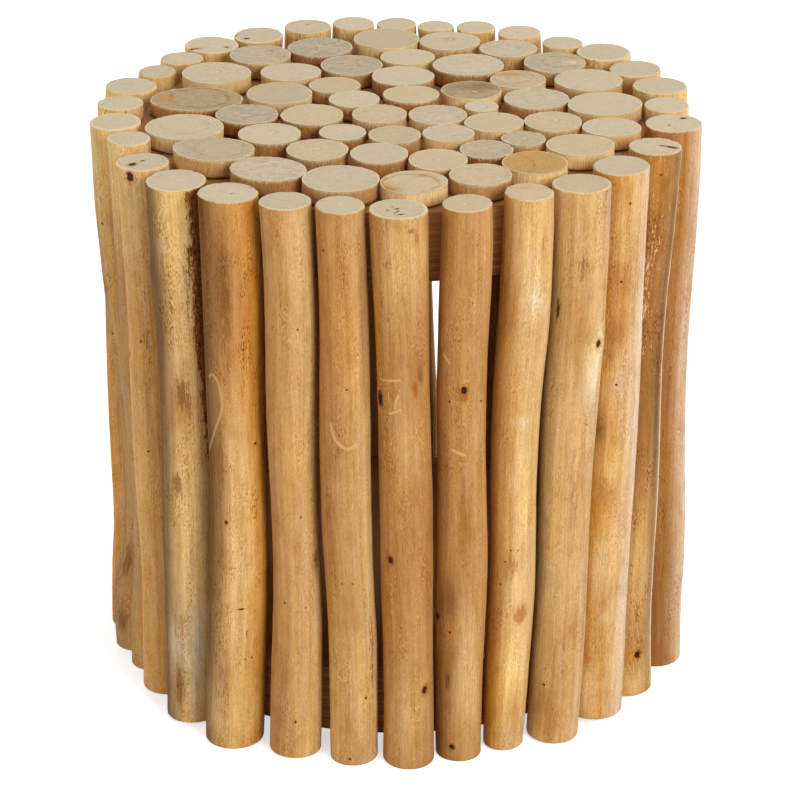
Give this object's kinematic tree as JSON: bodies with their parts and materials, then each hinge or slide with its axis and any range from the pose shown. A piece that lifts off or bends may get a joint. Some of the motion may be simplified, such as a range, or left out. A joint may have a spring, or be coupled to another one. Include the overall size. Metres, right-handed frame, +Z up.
{
  "type": "round log stool",
  "caption": "Round rustic stool: a ring of upright peeled branch posts round a seat of glued branch slices on plywood boards and hoops.",
  "frame": {"origin": "on the floor, under the middle of the ring of posts", "axes": "+Z up, the side that the picture shows faces -Y, +X to its right"},
  "size_m": [0.4356, 0.4357, 0.423],
  "materials": {
    "peeled_branch": "peeled and sanded, bare",
    "sawn_slice": "sawn end grain, sanded",
    "plywood": "stained brown, matt",
    "bare_steel": "plain"
  },
  "bodies": {
    "root": {"post_01": "peeled_branch", "post_02": "peeled_branch", "post_03": "peeled_branch", "post_04": "peeled_branch", "post_05": "peeled_branch", "post_06": "peeled_branch", "post_07": "peeled_branch", "post_08": "peeled_branch", "post_09": "peeled_branch", "post_10": "peeled_branch", "post_11": "peeled_branch", "post_12": "peeled_branch", "post_13": "peeled_branch", "post_14": "peeled_branch", "post_15": "peeled_branch", "post_16": "peeled_branch", "post_17": "peeled_branch", "post_18": "peeled_branch", "post_19": "peeled_branch", "post_20": "peeled_branch", "post_21": "peeled_branch", "post_22": "peeled_branch", "post_23": "peeled_branch", "post_24": "peeled_branch", "post_25": "peeled_branch", "post_26": "peeled_branch", "post_27": "peeled_branch", "post_28": "peeled_branch", "post_29": "peeled_branch", "post_30": "peeled_branch", "post_31": "peeled_branch", "edge_slice_01": "sawn_slice", "edge_slice_02": "sawn_slice", "edge_slice_03": "sawn_slice", "edge_slice_04": "sawn_slice", "edge_slice_05": "sawn_slice", "edge_slice_06": "sawn_slice", "edge_slice_07": "sawn_slice", "edge_slice_08": "sawn_slice", "edge_slice_09": "sawn_slice", "edge_slice_10": "sawn_slice", "edge_slice_11": "sawn_slice", "edge_slice_12": "sawn_slice", "edge_slice_13": "sawn_slice", "edge_slice_14": "sawn_slice", "edge_slice_15": "sawn_slice", "edge_slice_16": "sawn_slice", "edge_slice_17": "sawn_slice", "edge_slice_18": "sawn_slice", "edge_slice_19": "sawn_slice", "slices_middle": "sawn_slice", "slices_centre": "sawn_slice", "upper_board": "plywood", "upper_hoop": "plywood", "lower_board": "plywood", "lower_hoop": "plywood", "upper_nails": "bare_steel", "lower_nails": "bare_steel", "upper_screws": "bare_steel", "lower_screws": "bare_steel"}
  },
  "joints": []
}
